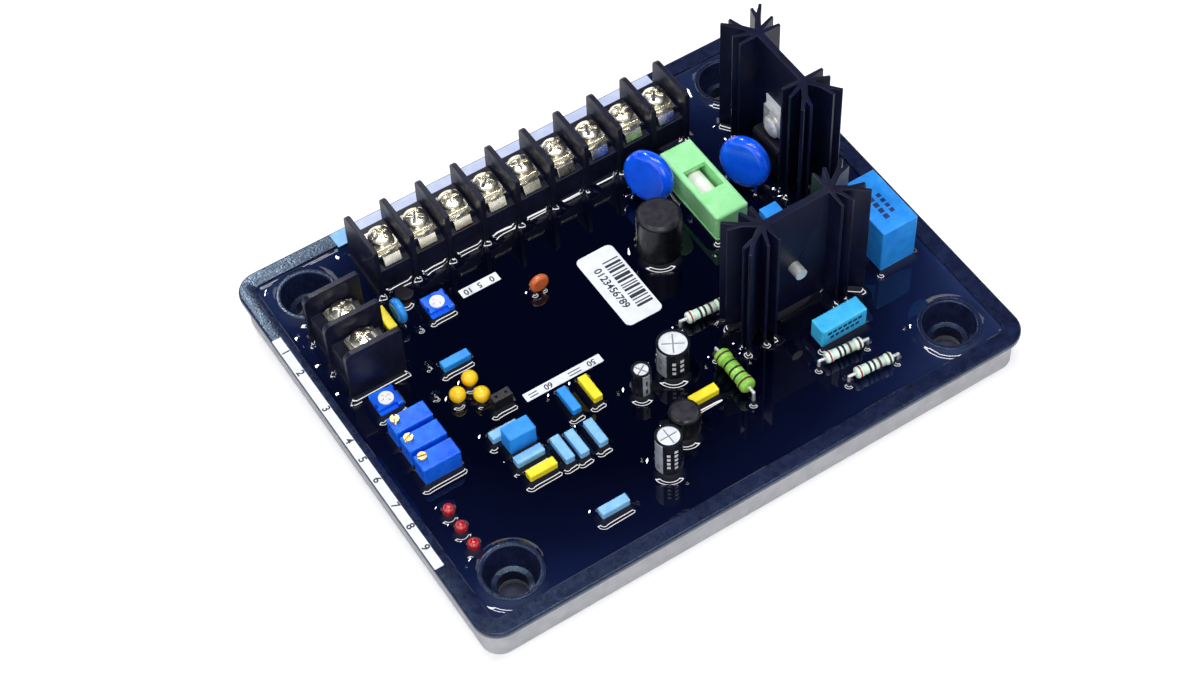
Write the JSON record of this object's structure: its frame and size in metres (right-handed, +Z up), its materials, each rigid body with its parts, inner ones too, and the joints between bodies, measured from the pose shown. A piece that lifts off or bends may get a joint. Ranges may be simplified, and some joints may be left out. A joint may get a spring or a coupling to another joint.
{
  "type": "automatic voltage regulator",
  "caption": "Potted generator voltage regulator: a shallow black tray of resin with mounting cups, barrier terminal rows, finned heat sinks, trimmers, capacitors and a fuse holder.",
  "frame": {"origin": "middle of the mounting face, under the case's middle", "axes": "+X along the long terminal row, +Y across the case towards that row, +Z up out of the resin"},
  "size_m": [0.145, 0.116, 0.0452],
  "materials": {
    "shell_grey": "pale grey moulded plastic, fine grain",
    "tray_black": "slate black moulded plastic, fine grain",
    "board_green": "glass-fibre laminate under resin",
    "resin_black": "poured and self-levelled, mirror gloss",
    "block_black": "moulded thermoplastic",
    "nickel": "nickel-plated steel",
    "sink_black": "extruded, black anodised",
    "pad_white": "thin insulating sheet",
    "tin": "tinned copper",
    "device_black": "moulded epoxy",
    "fuse_green": "moulded, light green",
    "fuse_ceramic": "white ceramic tube",
    "brass": "turned",
    "trimmer_blue": "moulded, blue",
    "rotor_white": "moulded, white",
    "varistor_blue": "dipped coating, cobalt blue",
    "disc_blue": "dipped coating, light blue",
    "disc_orange": "dipped coating, orange",
    "film_blue": "moulded case, mid blue",
    "film_pale": "moulded case, pale blue",
    "film_yellow": "moulded case, yellow",
    "can": "drawn can",
    "sleeve_black": "shrunk film sleeve",
    "bead_yellow": "dipped coating, yellow",
    "ferrite": "pressed ferrite",
    "winding_black": "shrunk sleeve over wire",
    "resistor_green": "lacquered, olive green",
    "resistor_pale": "lacquered, pale green",
    "lamp_red": "red lens",
    "header_black": "moulded"
  },
  "bodies": {
    "regulator": {"base_shell": "shell_grey", "potting_tray": "tray_black", "circuit_board": "board_green", "potting_resin": "resin_black", "long_block": "block_black", "long_plates": "nickel", "long_clamps": "nickel", "long_screws": "nickel", "short_block": "block_black", "short_plates": "nickel", "short_clamps": "nickel", "short_screws": "nickel", "front_heatsink": "sink_black", "front_pad": "pad_white", "front_tab": "tin", "front_transistor": "device_black", "rear_heatsink": "sink_black", "rear_pad": "pad_white", "rear_tab": "tin", "rear_transistor": "device_black", "transistor_washers": "nickel", "transistor_screws": "nickel", "fuse_base": "fuse_green", "fuse_clips": "nickel", "multi_trimmers": "trimmer_blue", "rear_trimmer": "trimmer_blue", "front_trimmer": "trimmer_blue", "left_varistor": "varistor_blue", "right_varistor": "varistor_blue", "blue_disc": "disc_blue", "orange_disc": "disc_orange", "large_film_cap": "film_blue", "medium_film_cap": "film_blue", "hidden_film_cap": "film_blue", "tall_film_cap": "film_blue", "pale_film_caps": "film_pale", "blue_film_caps": "film_blue", "yellow_film_caps": "film_yellow", "electrolytic_cans": "can", "electrolytic_sleeves": "sleeve_black", "bead_caps": "bead_yellow", "choke_cores": "ferrite", "choke_windings": "winding_black", "power_resistor_body": "resistor_green", "small_resistor_bodies": "resistor_pale", "indicator_lamps": "lamp_red", "small_transistor_body": "device_black", "header_base": "header_black", "header_pins": "nickel", "jumper_cap": "header_black"},
    "rear_rotor_body": {"rear_rotor": "rotor_white"},
    "front_rotor_body": {"front_rotor": "rotor_white"},
    "rear_screw_body": {"multi_screw_rear": "brass"},
    "middle_screw_body": {"multi_screw_middle": "brass"},
    "front_screw_body": {"multi_screw_front": "brass"},
    "fuse_drawer": {"fuse_carrier": "fuse_green", "fuse_tube": "fuse_ceramic", "fuse_caps": "nickel"}
  },
  "joints": [
    {"name": "rear_trimmer_turn", "type": "hinge", "parent": "regulator", "child": "rear_rotor_body", "pos_m": [-0.0353, 0.0254, 0.012], "axis": [0, 0, 1], "range_deg": [-130, 130]},
    {"name": "front_trimmer_turn", "type": "hinge", "parent": "regulator", "child": "front_rotor_body", "pos_m": [-0.0587, 0.0084, 0.012], "axis": [0, 0, 1], "range_deg": [-130, 130]},
    {"name": "rear_screw_turn", "type": "hinge", "parent": "regulator", "child": "rear_screw_body", "pos_m": [-0.0612, -0.0007, 0.0161], "axis": [0, 0, 1], "continuous": true},
    {"name": "middle_screw_turn", "type": "hinge", "parent": "regulator", "child": "middle_screw_body", "pos_m": [-0.0612, -0.0067, 0.0161], "axis": [0, 0, 1], "continuous": true},
    {"name": "front_screw_turn", "type": "hinge", "parent": "regulator", "child": "front_screw_body", "pos_m": [-0.0612, -0.0127, 0.0161], "axis": [0, 0, 1], "continuous": true},
    {"name": "fuse_lift", "type": "slide", "parent": "regulator", "child": "fuse_drawer", "axis": [0, 0, 1], "range_m": [0, 0.02]}
  ]
}
